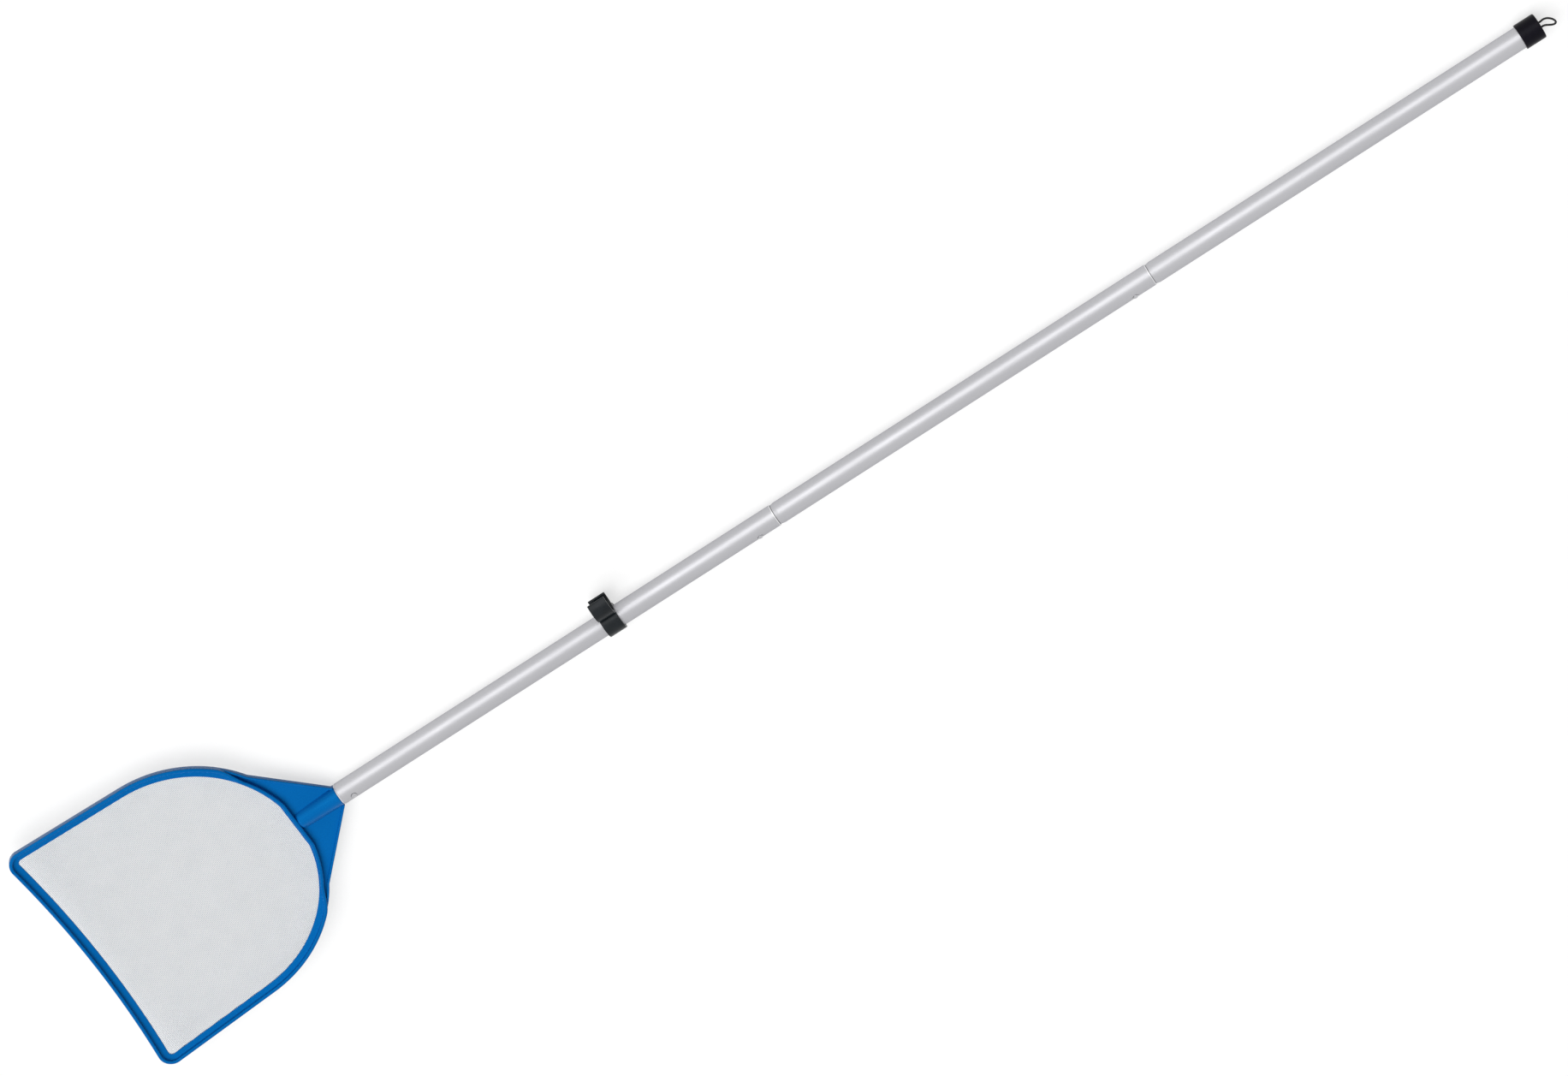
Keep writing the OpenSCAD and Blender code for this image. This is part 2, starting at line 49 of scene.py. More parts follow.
# ---- Camera ----
# A long lens looks down on the skimmer from a step to its side. Its place is counted from
# the neck, the point where the head meets the first tube on the middle line of the pole.

tube_low, tube_high = (Vector(corner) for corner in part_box("front_tube"))
neck = Vector((tube_low.x, 0, (tube_low.z + tube_high.z) / 2))

eye_from_neck = Vector((1.1564, 2.3937, 5.6393))
eye_right = Vector((0.83839, -0.52716, 0.13859)).normalized()
eye_back = Vector((0.09585, 0.39287, 0.91458))
eye_up = eye_back.cross(eye_right).normalized()
eye_back = eye_right.cross(eye_up)

lens = bpy.data.cameras.new("camera")
lens.sensor_fit = "HORIZONTAL"
lens.sensor_width = 36
lens.lens = 129.69
lens.clip_end = 100
camera = bpy.data.objects.new("camera", lens)
camera.matrix_world = (Matrix.Translation(neck + eye_from_neck)
                       @ Matrix((eye_right, eye_up, eye_back)).transposed().to_4x4())
scene.collection.objects.link(camera)
scene.camera = camera


# ---- Hang loop ----
# A short black cord of three twisted strands. It leaves one hole in the end of the cap,
# turns back on itself and goes into the other; a knot inside the cap keeps it there.

cap_end = 1550.4
cord_thickness = 2.4
cord_hole_y = 3.0
cord_tail = 5
cord_end = cap_end - cord_tail
strand_r = 0.27 * cord_thickness
strand_offset = 0.24 * cord_thickness
strand_lay = 5.2
strand_sides = 8
strand_count = 3
cord_steps = 8
cord_route = [(cord_end, cord_hole_y, 0)] + [(cap_end + x, y, z) for x, y, z in (
    (0, 3, 0), (2.5, 3.1, 0.1), (5, 3.8, 0.7), (7.5, 4.2, 1.9), (10, 3.9, 3.4),
    (12.3, 2.7, 4.8), (14.3, 0.8, 5.6), (15.7, -1.6, 5.6), (16.3, -4.2, 4.7),
    (15.8, -6.4, 3.1), (14.2, -7.6, 1.1), (11.8, -7.6, -0.6), (9.2, -6.5, -1.5),
    (6.6, -4.9, -1.4), (4.4, -3.6, -0.7), (2.2, -3, -0.1), (0, -3, 0))]
cord_route += [(cord_end, -cord_hole_y, 0)]


def on_pole(points):
    """Points in millimetres from the neck, as places in the frame in metres."""
    return np.asarray(points, float) / 1000 + np.array(neck)


def solid(name, points, faces):
    """A new piece, smooth to look at, from points already placed in the frame."""
    mesh = bpy.data.meshes.new(name)
    mesh.from_pydata([tuple(p) for p in points], [], faces)
    mesh.polygons.foreach_set("use_smooth", [True] * len(mesh.polygons))
    mesh.validate()
    piece = bpy.data.objects.new(name, mesh)
    scene.collection.objects.link(piece)
    return piece


def curve_through(points, steps):
    """A smooth line through the points, with steps short parts between each two."""
    p = np.asarray(points, float)
    p = np.vstack([2 * p[0] - p[1], p, 2 * p[-1] - p[-2]])
    line = []
    for i in range(1, len(p) - 2):
        for t in np.arange(steps) / steps:
            line.append(0.5 * (2 * p[i] + (p[i + 1] - p[i - 1]) * t
                               + (2 * p[i - 1] - 5 * p[i] + 4 * p[i + 1] - p[i + 2]) * t ** 2
                               + (3 * p[i] - p[i - 1] - 3 * p[i + 1] + p[i + 2]) * t ** 3))
    return np.array(line + [p[-2]])


def carried_frames(line):
    """Two directions square to the line at each point, carried along it without a twist."""
    along = np.gradient(line, axis=0)
    along /= np.linalg.norm(along, axis=1)[:, None]
    side = np.cross(along[0], (0.1, 0.2, 1.0))
    sides = []
    for direction in along:
        side = side - direction * (side @ direction)
        side /= np.linalg.norm(side)
        sides.append(side)
    sides = np.array(sides)
    return sides, np.cross(along, sides)


def tube_faces(rings, sides, first):
    """Faces of one closed tube of rings, its two ends closed with a flat face each."""
    def at(i, k):
        return first + i * sides + k % sides

    faces = [(at(i, k), at(i, k + 1), at(i + 1, k + 1), at(i + 1, k))
             for i in range(rings - 1) for k in range(sides)]
    return faces + [tuple(at(0, k) for k in reversed(range(sides))),
                    tuple(at(rings - 1, k) for k in range(sides))]


def twisted_cord(name, line, radius, offset):
    """Strands laid round a line, as a rope is, with one turn in each length of the lay."""
    length = np.concatenate([[0], np.cumsum(np.linalg.norm(np.diff(line, axis=0), axis=1))])
    side, other = carried_frames(line)
    points, faces = [], []
    ring = 2 * np.pi * np.arange(strand_sides) / strand_sides
    for strand in range(strand_count):
        turn = 2 * np.pi * (length / strand_lay + strand / strand_count)
        middle = line + offset * (np.cos(turn)[:, None] * side + np.sin(turn)[:, None] * other)
        a, b = carried_frames(middle)
        faces += tube_faces(len(line), strand_sides, len(points))
        for i in range(len(line)):
            points += [middle[i] + radius * (math.cos(t) * a[i] + math.sin(t) * b[i]) for t in ring]
    return solid(name, on_pole(points), faces)


grain_low, grain_high = 0.3, 0.7


def finish(name, roughness, metallic=0.0, specular=0.5):
    """A new finish with its own shader, and the places on the piece that its detail follows."""
    material = bpy.data.materials.new(name)
    material.use_nodes = True
    tree = material.node_tree
    shader = tree.nodes["Principled BSDF"]
    shader.inputs["Roughness"].default_value = roughness
    shader.inputs["Metallic"].default_value = metallic
    shader.inputs["Specular IOR Level"].default_value = specular
    return material, tree, shader, tree.nodes.new("ShaderNodeTexCoord").outputs["Object"]


def grain(tree, place, size_mm, detail=2.0, stretch=(1, 1, 1)):
    """Uneven grain about size_mm across, longer or shorter along each axis by stretch."""
    mapping = tree.nodes.new("ShaderNodeMapping")
    mapping.inputs["Scale"].default_value = [1000 / (size_mm * s) for s in stretch]
    noise = tree.nodes.new("ShaderNodeTexNoise")
    noise.inputs["Scale"].default_value = 1
    noise.inputs["Detail"].default_value = detail
    tree.links.new(place, mapping.inputs["Vector"])
    tree.links.new(mapping.outputs["Vector"], noise.inputs["Vector"])
    return noise.outputs["Fac"]


def spread(tree, value, low, high, socket):
    """Runs a value from low to high into a socket."""
    ranged = tree.nodes.new("ShaderNodeMapRange")
    ranged.inputs["From Min"].default_value = grain_low
    ranged.inputs["From Max"].default_value = grain_high
    ranged.inputs["To Min"].default_value = low
    ranged.inputs["To Max"].default_value = high
    tree.links.new(value, ranged.inputs["Value"])
    tree.links.new(ranged.outputs["Result"], socket)


def two_colours(tree, value, dark, light, socket):
    """Runs a colour from dark to light as the value rises."""
    ramp = tree.nodes.new("ShaderNodeValToRGB")
    ramp.color_ramp.elements[0].position = grain_low
    ramp.color_ramp.elements[0].color = (*dark, 1)
    ramp.color_ramp.elements[1].position = grain_high
    ramp.color_ramp.elements[1].color = (*light, 1)
    tree.links.new(value, ramp.inputs["Fac"])
    tree.links.new(ramp.outputs["Color"], socket)


def bumps(tree, shader, value, depth_mm):
    """Raises the surface by depth_mm where the value is high."""
    bump = tree.nodes.new("ShaderNodeBump")
    bump.inputs["Distance"].default_value = depth_mm / 1000
    tree.links.new(value, bump.inputs["Height"])
    tree.links.new(bump.outputs["Normal"], shader.inputs["Normal"])


def dress(piece, *finishes):
    """Gives a piece its finishes in place of any that it had."""
    piece.data.materials.clear()
    for material in finishes:
        piece.data.materials.append(material)


cord_black, tree, shader, place = finish("twisted_black_cord", 0.62, specular=0.35)
two_colours(tree, grain(tree, place, 0.5), (0.0021, 0.0021, 0.00245), (0.0077, 0.00735, 0.0084),
            shader.inputs["Base Color"])
bumps(tree, shader, grain(tree, place, 0.12, stretch=(4, 1, 1)), 0.05)
shader.inputs["Sheen Weight"].default_value = 0.2

cord_line = curve_through(cord_route, cord_steps)
hang_loop = twisted_cord("hang_loop_cord", cord_line, strand_r, strand_offset)

knot_thickness = 4.4
knot_gap = 0.5
knot_reach = 1.95
knot_fold = 0.9
knot_strand_r = 0.6
knot_strand_offset = 0.5
knot_turn = np.linspace(0, 2 * np.pi, 97)[:-1]
knot_line = np.stack([cord_end - knot_gap - knot_thickness / 2 + np.sin(3 * knot_turn),
                      knot_reach * (np.sin(knot_turn) + knot_fold * np.sin(2 * knot_turn)),
                      knot_reach * (np.cos(knot_turn) - knot_fold * np.cos(2 * knot_turn))], axis=1)
loop_knot = twisted_cord("hang_loop_knot", knot_line, knot_strand_r, knot_strand_offset)

for piece, node in ((hang_loop, "hang_loop"), (loop_knot, "loop_knot")):
    dress(piece, cord_black)
    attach(piece, "net_and_pole")
    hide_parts(node)


# ---- Head frame ----
# One moulding of glossy blue plastic. The rim has a bead along its outer edge and a ledge for
# the net inside it. Two flat webs with a rib along each edge join it to a round boss, whose
# spigot goes inside the first tube.

round_r = 151.5
round_centre = -195.5
side_flare = 2.6
front_reach = 329.5
front_curve_r = 1250
corner_r = 16
back_reach = 47
blend_r = 25
head_rise = 4.4
head_pitch = 3
rim_width = 10.1
back_extra = 2
front_extra = 1.8
rim_half = 4.8
rim_wall = 2.4
wall_lean = 0.2
bead_width = 3.9
bead_crest = 2.6
bead_brim = 0.5
bead_shoulder = 0.35
bead_fall = 1.1
rim_rounding = (0.5, 0.5, 0.8, 0.5, 0.4, 1.1, 0.9, 2.0, 0.8, 0.8)
widened_corners = (0, 0, 0, 1, 1, 0, 0, 0, 0, 0)
net_z = -0.4
net_bite = 2
slot_half = 0.45
ledge_thickness = 1.3
lip_z = net_z + 0.8
lip_slope = 0.2
back_set_in = 6.5
neck_gap = 0.3
boss_r = 12.5
boss_tail_r = 11.7
boss_round = 5
boss_edge = 0.5, 0.4
spigot_r = 11.65
spigot_bore_r = 9.05
spigot_length = 62
spigot_edge = 1
bore_floor = 6
rib_angle = 32
rib_thickness = 2.8
rib_neck_y = 11.7
rib_inset = 0.3
rib_draft = 0.15
rib_rounding = 0.9
rib_step = 0.3
rib_neck_drop = 3.3
rib_rim_drop = 1.8
rib_fall = 2.6
rib_overrun = 1.15
web_low = -4
web_high = -2
web_bite = 2.4
bead_change = 14
sharp_angle = math.radians(35)
head_tilt = (Matrix.Translation(neck + Vector((0, 0, head_rise / 1000)))
             @ Matrix.Rotation(math.radians(head_pitch), 4, "Y"))


def on_head(points):
    """Points in millimetres in the head's own tilted frame, as places in metres."""
    turned = np.array(head_tilt)
    return np.asarray(points, float) / 1000 @ turned[:3, :3].T + turned[:3, 3]


def direction(degrees):
    """The way at an angle in a plane, as a vector of length 1."""
    return np.array([math.cos(math.radians(degrees)), math.sin(math.radians(degrees))])


def rim_arc(centre, radius, angles, extras, steps, bend=1):
    """Stations along an arc of the rim: place, way inwards, how far out its bead stands from
    its place behind the webs (0 to 1), and the width that the ledge gains."""
    for t in np.linspace(0, 1, steps + 1)[1:]:
        angle = angles[0] + (angles[1] - angles[0]) * t
        out = direction(angle)
        full = np.clip((angle - rib_angle) / bead_change, 0, 1)
        full = 1.0 if bend < 0 else full * full * (3 - 2 * full)
        yield centre + radius * out, -bend * out, full, extras[0] + (extras[1] - extras[0]) * t


round_c = np.array([round_centre, 0.0])
front_c = np.array([-front_reach - front_curve_r, 0.0])
blend_x = -back_reach - blend_r
blend_c = np.array([blend_x, math.sqrt((round_r - blend_r) ** 2 - (blend_x - round_centre) ** 2)])
blend_end = math.degrees(math.atan2(blend_c[1], blend_x - round_centre))
side_end = 90 - side_flare
side_start = round_c + (round_r - corner_r) * direction(side_end)
side_along = direction(180 - side_flare)
from_front = side_start - front_c
reach_along = from_front @ side_along
corner_c = side_start + side_along * (-reach_along - math.sqrt(
    reach_along ** 2 - from_front @ from_front + (front_curve_r + corner_r) ** 2))
front_half = math.degrees(math.atan2(corner_c[1], corner_c[0] - front_c[0]))

half_rim = [(np.array([-back_reach, y]), np.array([-1.0, 0.0]), 0.0, back_extra)
            for y in np.linspace(0, blend_c[1], 6)]
half_rim += rim_arc(blend_c, blend_r, (0, blend_end), (back_extra, back_extra), 12)
half_rim += rim_arc(round_c, round_r, (blend_end, side_end), (back_extra, 0), 100)
half_rim += rim_arc(corner_c, corner_r, (side_end, 180 + front_half), (0, front_extra), 18)
half_rim += rim_arc(front_c, front_curve_r, (front_half, 0), (front_extra, front_extra), 24, -1)
rim_stations = half_rim + [(p * (1, -1), n * (1, -1), s, e) for p, n, s, e in half_rim[-2:0:-1]]


def rounded(corners, radii, steps=4):
    """A closed outline with each corner rounded by its own radius."""
    corners = [np.array(c, float) for c in corners]
    outline = []
    for i, (c, r) in enumerate(zip(corners, radii)):
        a = corners[i - 1] - c
        b = corners[(i + 1) % len(corners)] - c
        a_length, b_length = np.linalg.norm(a), np.linalg.norm(b)
        a, b = a / a_length, b / b_length
        half = math.acos(np.clip(a @ b, -1, 1)) / 2
        cut = min(r / math.tan(half), 0.48 * a_length, 0.48 * b_length)
        start, end = c + a * cut, c + b * cut
        for t in np.linspace(0, 1, steps + 1):
            outline.append((1 - t) ** 2 * start + 2 * t * (1 - t) * c + t ** 2 * end)
    return np.array(outline)


def rim_section(x):
    """The rim cut across, its bead's outer edge at x: distances inwards, and heights."""
    wall, foot = x + wall_lean, x + bead_width
    shelf = net_z - slot_half - ledge_thickness
    corners = [(wall, -rim_half), (wall + rim_wall, -rim_half), (wall + rim_wall, shelf),
               (rim_width, shelf), (rim_width, lip_z), (foot, lip_z + lip_slope),
               (foot, rim_half - bead_shoulder), (x + bead_crest, rim_half),
               (x + bead_brim, rim_half - bead_shoulder), (x, rim_half - bead_fall)]
    return rounded(corners, rim_rounding)


full_section, back_section = rim_section(0), rim_section(back_set_in)
widens = np.repeat(widened_corners, len(full_section) // len(rim_rounding))
rim_points = [(*(p + (q[0] + w * e) * n), q[1]) for p, n, s, e in rim_stations
              for q, w in zip((1 - s) * back_section + s * full_section, widens)]
section_count, station_count = len(full_section), len(rim_stations)
rim_faces = [(i * section_count + k, (i + 1) % station_count * section_count + k,
              (i + 1) % station_count * section_count + (k + 1) % section_count,
              i * section_count + (k + 1) % section_count)
             for i in range(station_count) for k in range(section_count)]
head_frame = solid("moulded_head", on_head(rim_points), rim_faces)


def plate(name, outline, low, high):
    """A flat plate over an outline on the head, from height low to high."""
    count = len(outline)
    points = [(*p, low) for p in outline] + [(*p, high) for p in outline]
    faces = [tuple(reversed(range(count))), tuple(range(count, 2 * count))]
    faces += [(k, (k + 1) % count, count + (k + 1) % count, count + k) for k in range(count)]
    return solid(name, on_head(points), faces)


def turned(name, profile, sides=96):
    """A piece turned round the pole's axis, from (x, radius) points that start and end on it."""
    angles = 2 * np.pi * np.arange(sides) / sides
    points = [(profile[0][0], 0, 0)]
    for x, r in profile[1:-1]:
        points += [(x, r * math.cos(a), r * math.sin(a)) for a in angles]
    points.append((profile[-1][0], 0, 0))
    rings, last = len(profile) - 2, len(points) - 1
    faces = [(0, 1 + (k + 1) % sides, 1 + k) for k in range(sides)]
    faces += [(1 + i * sides + k, 1 + i * sides + (k + 1) % sides,
               1 + (i + 1) * sides + (k + 1) % sides, 1 + (i + 1) * sides + k)
              for i in range(rings - 1) for k in range(sides)]
    faces += [(last, last - sides + k, last - sides + (k + 1) % sides) for k in range(sides)]
    return solid(name, on_pole(points), faces)


def rounding(x, r, radius, first, last, steps=6):
    """Points of a rounded edge of a turned piece, about the middle (x, r)."""
    return [(x + radius * math.cos(math.radians(a)), r + radius * math.sin(math.radians(a)))
            for a in np.linspace(first, last, steps + 1)]


def joined(piece, *others, way="UNION"):
    """Welds other solids to a piece, or cuts them out of it."""
    for other in others:
        change = piece.modifiers.new("change", "BOOLEAN")
        change.operation = way
        change.solver = "EXACT"
        change.object = other
        bpy.context.view_layer.update()
        mesh = bpy.data.meshes.new_from_object(
            piece.evaluated_get(bpy.context.evaluated_depsgraph_get()))
        piece.modifiers.clear()
        old, piece.data = piece.data, mesh
        mesh.name = piece.name
        bpy.data.meshes.remove(old)
        bpy.data.objects.remove(other)


tuck = back_set_in + wall_lean + rim_wall / 2
rib_r = rib_thickness / 2
rib_flank = rib_r - rib_draft
rib_foot = web_low - rib_step
rib_line = round_r - rib_inset - rib_r
rib_neck = np.array([-neck_gap - rib_r, rib_neck_y])
rib_route = [(rib_neck, rim_half - rib_neck_drop)]
rib_route += [(round_c + rib_line * direction(rib_angle + t * bead_change),
               rim_half - rib_rim_drop - rib_fall * t * t)
              for t in np.linspace(0, rib_overrun, 14)]
web_edge = [p + (tuck + (web_bite - tuck) * s) * n for p, n, s, _ in half_rim
            if math.atan2(p[1], p[0] - round_centre) < math.radians(rib_angle + bead_change)]
web_outline = [p for p, _ in rib_route[:-2]] + web_edge[::-1]
web_outline += [p * (1, -1) for p in web_edge[1:]] + [p * (1, -1) for p, _ in rib_route[-3::-1]]
webs = plate("webs", web_outline, web_low, web_high)

ribs = []
for mirror in (1, -1):
    points = []
    for i, (middle, top) in enumerate(rib_route):
        way = rib_route[min(i + 1, len(rib_route) - 1)][0] - rib_route[max(i - 1, 0)][0]
        side = np.array([-way[1], way[0]]) / np.linalg.norm(way)
        shoulder = top - rib_rounding
        section = [(-rib_r, rib_foot), (-rib_flank, shoulder)]
        section += [(-rib_flank * math.cos(a), shoulder + rib_rounding * math.sin(a))
                    for a in np.linspace(0, math.pi, 9)[1:-1]]
        section += [(rib_flank, shoulder), (rib_r, rib_foot)]
        points += [(*((middle + side * s) * (1, mirror)), z) for s, z in section]
    faces = tube_faces(len(rib_route), len(section), 0)
    if mirror > 0:
        faces = [tuple(reversed(f)) for f in faces]
    ribs.append(solid("rib", on_head(points), faces))

boss_start = -back_reach - tuck
boss = turned("boss", [(boss_start, 0)]
              + rounding(boss_start + boss_round, boss_tail_r - boss_round, boss_round, 180, 90)
              + [(-neck_gap - boss_edge[0], boss_r), (-neck_gap, boss_r - boss_edge[1]),
                 (-neck_gap, spigot_r), (spigot_length - spigot_edge, spigot_r),
                 (spigot_length, spigot_r - spigot_edge), (spigot_length, 0)])
joined(head_frame, webs, *ribs, boss)
bore_start, bore_end = bore_floor - back_reach, spigot_length + 1
bore = turned("bore", [(bore_start, 0), (bore_start, spigot_bore_r),
                       (bore_end, spigot_bore_r), (bore_end, 0)])
joined(head_frame, bore, way="DIFFERENCE")

head_blue, tree, shader, place = finish("glossy_blue_plastic", 0.26, specular=0.5)
two_colours(tree, grain(tree, place, 60, 3), (0.0006, 0.112, 0.385), (0.001, 0.124, 0.42),
            shader.inputs["Base Color"])
spread(tree, grain(tree, place, 3, 3), 0.22, 0.31, shader.inputs["Roughness"])
bumps(tree, shader, grain(tree, place, 1.4, 3), 0.02)
shader.inputs["Specular Tint"].default_value = (0.03, 0.5, 0.9, 1)
dress(head_frame, head_blue)
head_frame.data.set_sharp_from_angle(angle=sharp_angle)
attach(head_frame, "net_and_pole")
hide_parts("head_frame")


# ---- Net ----
# White threads in a plain weave, pulled flat and moulded into the slot of the rim's ledge. The
# threads along the pole stand closer together than those across it, and are coloured greyer than
# those across it: painted shade, standing in for the shade that the weave casts on them.

thread_width = 0.58
thread_height = 0.37
weave_turn = 6.5
pitch_along = 2.07
pitch_across = 1.63
net_reach = 190
edge_tuck = 0.1
net_edge = np.array([p + (rim_width + e - net_bite + edge_tuck) * n for p, n, _, e in rim_stations])


def inside_parts(origin, way):
    """Where a line lies inside the net's edge, as pairs of distances along it."""
    a, b = net_edge, np.roll(net_edge, -1, axis=0)
    square = np.array([-way[1], way[0]])
    da, db = (a - origin) @ square, (b - origin) @ square
    cross = (da > 0) != (db > 0)
    t = da[cross] / (da[cross] - db[cross])
    hits = np.sort((a[cross] + (b[cross] - a[cross]) * t[:, None] - origin) @ way)
    return list(zip(hits[::2], hits[1::2]))


def threads(way, across, pitch, crossing, phase, points, faces):
    """Lays one family of threads over and under the other."""
    reach = int(net_reach / pitch)
    for i in range(-reach, reach + 1):
        origin = round_c + across * i * pitch
        for start, end in inside_parts(origin, way):
            first, last = math.ceil(start / crossing), math.floor(end / crossing)
            if last - first < 1:
                continue
            at = [start] + [k * crossing for k in range(first, last + 1)] + [end]
            rise = [0] + [thread_height / 2 * (-1) ** (i + k + phase)
                          for k in range(first, last + 1)] + [0]
            base = len(points)
            for t, z in zip(at, rise):
                x, y = origin + way * t
                sx, sy = across * thread_width / 2
                points += [(x + sx, y + sy, net_z + z), (x, y, net_z + z + thread_height / 2),
                           (x - sx, y - sy, net_z + z), (x, y, net_z + z - thread_height / 2)]
            faces += tube_faces(len(at), 4, base)


net_points, net_faces = [], []
weave_way, weave_across = direction(weave_turn), direction(weave_turn + 90)
threads(weave_way, weave_across, pitch_across, pitch_along, 0, net_points, net_faces)
lengthwise_count = len(net_faces)
threads(weave_across, weave_way, pitch_along, pitch_across, 1, net_points, net_faces)
net = solid("woven_net", on_head(net_points), net_faces)

thread_finishes = []
# The crosswise threads keep the white thread colour; the lengthwise ones get a greyer copy of it,
# which is painted shade.
for name, dark, light in (("bright_crosswise_thread", (0.87, 0.90, 0.93), (0.93, 0.95, 0.97)),
                          ("lengthwise_thread_painted_shade", (0.55, 0.61, 0.67), (0.61, 0.66, 0.72))):
    thread, tree, shader, place = finish(name, 0.5, specular=0.4)
    two_colours(tree, grain(tree, place, 25, 3), dark, light, shader.inputs["Base Color"])
    bumps(tree, shader, grain(tree, place, 0.2), 0.02)
    thread_finishes.append(thread)
dress(net, *thread_finishes)
is_lengthwise = np.arange(len(net.data.polygons)) < lengthwise_count
net.data.polygons.foreach_set("material_index", is_lengthwise.astype(np.int32))
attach(net, "net_and_pole")
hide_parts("net")


# ---- Tubes ----
# Three drawn aluminium tubes with a satin skin. A painted highlight ring stands at the mouth and
# at each joint, where the cut edges catch the light. Each but the first has a reduced end that
# slides into the tube ahead; a painted shade ring darkens the groove where the two meet.

tube_ends = (572, 1056)
# Rings of painted highlight at the cut edges, and rings of painted shade in the grooves.
mouth_highlight_width = 1.1
cut_highlight_width = 0.9
groove_shade_start, groove_shade_end = 0.05, 0.7
painted_highlight_rings = [(0, mouth_highlight_width)] + [(end - cut_highlight_width, end) for end in tube_ends]
painted_groove_shade_rings = [(end + groove_shade_start, end + groove_shade_end) for end in tube_ends]


def ringed(tree, place, rings):
    """1 on each ring round the pole, given by its two ends in millimetres, and else 0."""
    split = tree.nodes.new("ShaderNodeSeparateXYZ")
    tree.links.new(place, split.inputs["Vector"])
    total = None
    for start, end in rings:
        inside = tree.nodes.new("ShaderNodeMath")
        inside.operation = "COMPARE"
        inside.inputs[1].default_value = on_pole(((start + end) / 2, 0, 0))[0]
        inside.inputs[2].default_value = (end - start) / 2 / 1000
        tree.links.new(split.outputs["X"], inside.inputs[0])
        if total:
            both = tree.nodes.new("ShaderNodeMath")
            tree.links.new(total, both.inputs[0])
            tree.links.new(inside.outputs[0], both.inputs[1])
            inside = both
        total = inside.outputs[0]
    return total


satin, tree, shader, place = finish("satin_aluminium", 0.42, metallic=1.0)
two_colours(tree, grain(tree, place, 45, 3, stretch=(6, 1, 1)), (0.48, 0.48, 0.50),
            (0.51, 0.51, 0.53), shader.inputs["Base Color"])
# Mixes the pale painted highlight rings, then the dark painted shade rings, over the satin grain.
for rings, painted_tone in ((painted_highlight_rings, (0.76, 0.76, 0.77, 1)), (painted_groove_shade_rings, (0.16, 0.16, 0.17, 1))):
    under = shader.inputs["Base Color"].links[0].from_socket
    blend = tree.nodes.new("ShaderNodeMix")
    blend.data_type = "RGBA"
    first, second = [s for s in blend.inputs if s.type == "RGBA"]
    tree.links.new(ringed(tree, place, rings), blend.inputs["Factor"])
    tree.links.new(under, first)
    second.default_value = painted_tone
    blended = [s for s in blend.outputs if s.type == "RGBA"][0]
    tree.links.new(blended, shader.inputs["Base Color"])
spread(tree, grain(tree, place, 9, 4, stretch=(8, 1, 1)), 0.42, 0.5, shader.inputs["Roughness"])
bumps(tree, shader, grain(tree, place, 0.25, 3, stretch=(90, 1, 1)), 0.006)
shader.inputs["Specular Tint"].default_value = (0.7, 0.7, 0.72, 1)
for name in ("front_tube", "middle_tube", "rear_tube"):
    dress(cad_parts[name], satin)


# ---- Spring buttons and their leaves ----
# A domed steel button stands through each pair of tubes and locks them. It is riveted to a
# folded leaf of spring steel that lies inside and pushes it back out.

button_steel, tree, shader, place = finish("plated_steel", 0.36, metallic=1.0)
two_colours(tree, grain(tree, place, 4, 3), (0.46, 0.46, 0.48), (0.54, 0.54, 0.56),
            shader.inputs["Base Color"])
spread(tree, grain(tree, place, 0.8, 3), 0.3, 0.42, shader.inputs["Roughness"])

leaf_steel, tree, shader, place = finish("spring_steel", 0.38, metallic=1.0)
two_colours(tree, grain(tree, place, 7, 3), (0.40, 0.41, 0.43), (0.52, 0.52, 0.54),
            shader.inputs["Base Color"])
spread(tree, grain(tree, place, 1.2, 3, stretch=(12, 1, 1)), 0.3, 0.46, shader.inputs["Roughness"])
for joint in ("head", "front_joint", "rear_joint"):
    dress(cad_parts[f"{joint}_button"], button_steel)
    dress(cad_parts[f"{joint}_spring"], leaf_steel)


# ---- Storage clip ----
# A short cut of extruded black plastic with two hooks back to back. One grips the pole; the
# other stands beside it to hang the skimmer up or to hold a second tube.

clip_x = 348
clip_length = 21
clip_bore_r = 12.8
clip_r = 15.9
clip_turn = 22
mouth_half = 63
mouth_turn = 36
lower_mouth = clip_turn + 180 + mouth_turn
upper_mouth = clip_turn - mouth_turn
clip_bevel = 0.45
hooks_apart = clip_bore_r + clip_r
first_hook = np.zeros(2)
second_hook = hooks_apart * direction(clip_turn)
notch = math.degrees(math.acos(hooks_apart / 2 / clip_r))


def bend(centre, radius, first, last):
    """Points of an arc about a hook's middle, from one angle to another."""
    steps = max(2, round(abs(last - first) / 4))
    return [centre + radius * direction(a) for a in np.linspace(first, last, steps + 1)]


def lip(centre, angle, first, last):
    """The rounded end of a hook, from one face of its wall to the other."""
    middle = centre + (clip_bore_r + clip_r) / 2 * direction(angle)
    return bend(middle, (clip_r - clip_bore_r) / 2, first, last)[1:-1]


lower_low, lower_high = lower_mouth - mouth_half, lower_mouth + mouth_half
upper_low, upper_high = upper_mouth - mouth_half + 360, upper_mouth + mouth_half
clip_outline = (
    bend(first_hook, clip_r, lower_high, 360 + clip_turn - notch)
    + bend(second_hook, clip_r, clip_turn + 180 + notch, upper_low)
    + lip(second_hook, upper_low, upper_low, upper_low + 180)
    + bend(second_hook, clip_bore_r, upper_low, upper_high)
    + lip(second_hook, upper_high, upper_high + 180, upper_high + 360)
    + bend(second_hook, clip_r, upper_high, clip_turn + 180 - notch)
    + bend(first_hook, clip_r, clip_turn + notch, lower_low)
    + lip(first_hook, lower_low, lower_low, lower_low + 180)
    + bend(first_hook, clip_bore_r, lower_low, lower_high - 360)
    + lip(first_hook, lower_high, lower_high + 180, lower_high + 360))


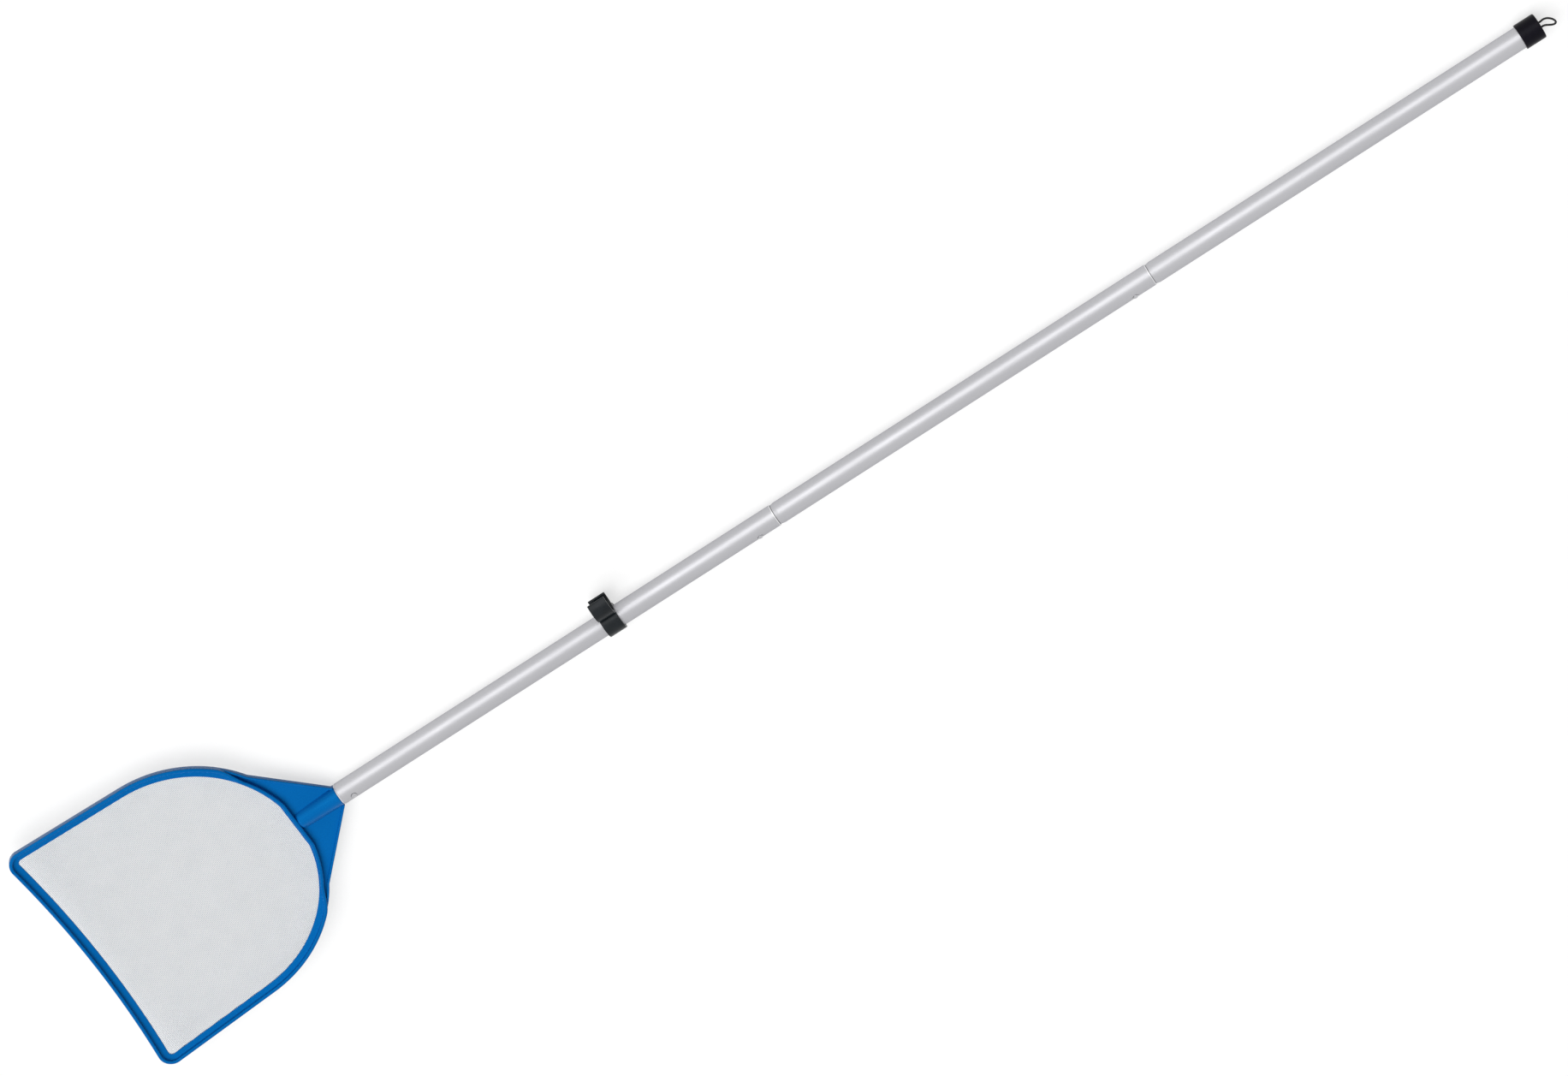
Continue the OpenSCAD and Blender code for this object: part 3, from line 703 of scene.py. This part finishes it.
def extruded(name, outline, start, length, bevel, steps=4):
    """A length of extrusion along the pole, with the edges of both its ends rounded."""
    outline = np.array(outline)
    keep = np.linalg.norm(outline - np.roll(outline, 1, axis=0), axis=1) > 1e-3
    outline = outline[keep]
    along = np.roll(outline, -1, axis=0) - np.roll(outline, 1, axis=0)
    along /= np.linalg.norm(along, axis=1)[:, None]
    inward = np.stack([-along[:, 1], along[:, 0]], axis=1)
    near = [(start + bevel * (1 - math.cos(t)), bevel * (1 - math.sin(t)))
            for t in np.linspace(0, math.pi / 2, steps + 1)]
    far = [(2 * start + length - x, inset) for x, inset in reversed(near)]
    count, points = len(outline), []
    for x, inset in near + far:
        points += [(x, *p) for p in outline + inset * inward]
    return solid(name, on_pole(points), tube_faces(len(near + far), count, 0))


clip = extruded("storage_clip_extrusion", clip_outline, clip_x, clip_length, clip_bevel)
clip_black, tree, shader, place = finish("black_extruded_plastic", 0.34, specular=0.22)
two_colours(tree, grain(tree, place, 8, 3), (0.004, 0.006, 0.008), (0.008, 0.011, 0.014),
            shader.inputs["Base Color"])
spread(tree, grain(tree, place, 2, 3, stretch=(14, 1, 1)), 0.26, 0.36, shader.inputs["Roughness"])
bumps(tree, shader, grain(tree, place, 0.35, 2, stretch=(40, 1, 1)), 0.03)
dress(clip, clip_black)
clip.data.set_sharp_from_angle(angle=sharp_angle)
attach(clip, "clip")
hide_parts("storage_clip")


# ---- End cap ----
# A black plastic cup pushed over the end of the last tube. Two small holes in its end wall
# let the hang loop out.

cap_black, tree, shader, place = finish("black_moulded_plastic", 0.3, specular=0.1)
two_colours(tree, grain(tree, place, 6, 3), (0.0018, 0.0014, 0.004), (0.003, 0.0024, 0.006),
            shader.inputs["Base Color"])
spread(tree, grain(tree, place, 1.5, 3), 0.28, 0.42, shader.inputs["Roughness"])
bumps(tree, shader, grain(tree, place, 0.5, 3), 0.02)
dress(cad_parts["end_cap"], cap_black)


# ---- Floor and lights ----
# A plain pale floor that glows a little to the eye, a broad soft main light from above the
# head's front, and a long soft lamp beside the pole that only glossy surfaces show.

floor_half = 30
floor_grey = 0.36
floor_glow = 0.66
sky_light = 0.22
floor_mesh = bpy.data.meshes.new("floor")
floor_mesh.from_pydata([(x * floor_half, y * floor_half, 0)
                        for x, y in ((-1, -1), (1, -1), (1, 1), (-1, 1))], [], [(0, 1, 2, 3)])
floor = bpy.data.objects.new("floor", floor_mesh)
scene.collection.objects.link(floor)


def seen_or_mirrored(tree):
    """1 for what the camera sees straight, in a mirror or through glass, and else 0."""
    ray = tree.nodes.new("ShaderNodeLightPath")
    value = ray.outputs["Is Camera Ray"]
    for other in ("Is Glossy Ray", "Is Transmission Ray"):
        either = tree.nodes.new("ShaderNodeMath")
        either.operation = "MAXIMUM"
        tree.links.new(value, either.inputs[0])
        tree.links.new(ray.outputs[other], either.inputs[1])
        value = either.outputs[0]
    return value


floor_white, tree, shader, place = finish("pale_floor", 0.9, specular=0.0)
shader.inputs["Base Color"].default_value = (floor_grey, floor_grey, floor_grey, 1)
shader.inputs["Emission Color"].default_value = (1, 1, 1, 1)
glow = tree.nodes.new("ShaderNodeMath")
glow.operation = "MULTIPLY"
glow.inputs[1].default_value = floor_glow
tree.links.new(seen_or_mirrored(tree), glow.inputs[0])
tree.links.new(glow.outputs[0], shader.inputs["Emission Strength"])
dress(floor, floor_white)

world = bpy.data.worlds.new("studio")
world.use_nodes = True
scene.world = world
sky = world.node_tree.nodes["Background"]
sky.inputs["Color"].default_value = (1, 1, 1, 1)
mix = world.node_tree.nodes.new("ShaderNodeMapRange")
mix.inputs["To Min"].default_value = sky_light
mix.inputs["To Max"].default_value = 1.0
world.node_tree.links.new(seen_or_mirrored(world.node_tree), mix.inputs["Value"])
world.node_tree.links.new(mix.outputs["Result"], sky.inputs["Strength"])

side_light = bpy.data.lights.new("side_lamp", "AREA")
side_light.shape = "RECTANGLE"
side_light.size, side_light.size_y, side_light.energy = 3.4, 2.3, 37
side_place = Vector((-0.1, 1.95, 2.53))
side_lamp = bpy.data.objects.new("side_lamp", side_light)
side_lamp.matrix_world = (Matrix.Translation(side_place)
                          @ side_place.to_track_quat("Z", "Y").to_matrix().to_4x4())
side_lamp.visible_diffuse = False
scene.collection.objects.link(side_lamp)

main_from = Vector((-0.5, 0.12, 1))
main_light = bpy.data.lights.new("main_lamp", "SUN")
main_light.energy = 2.8
main_light.angle = math.radians(55)
main_lamp = bpy.data.objects.new("main_lamp", main_light)
main_lamp.rotation_euler = main_from.to_track_quat("Z", "Y").to_euler()
main_lamp.visible_glossy = False
scene.collection.objects.link(main_lamp)
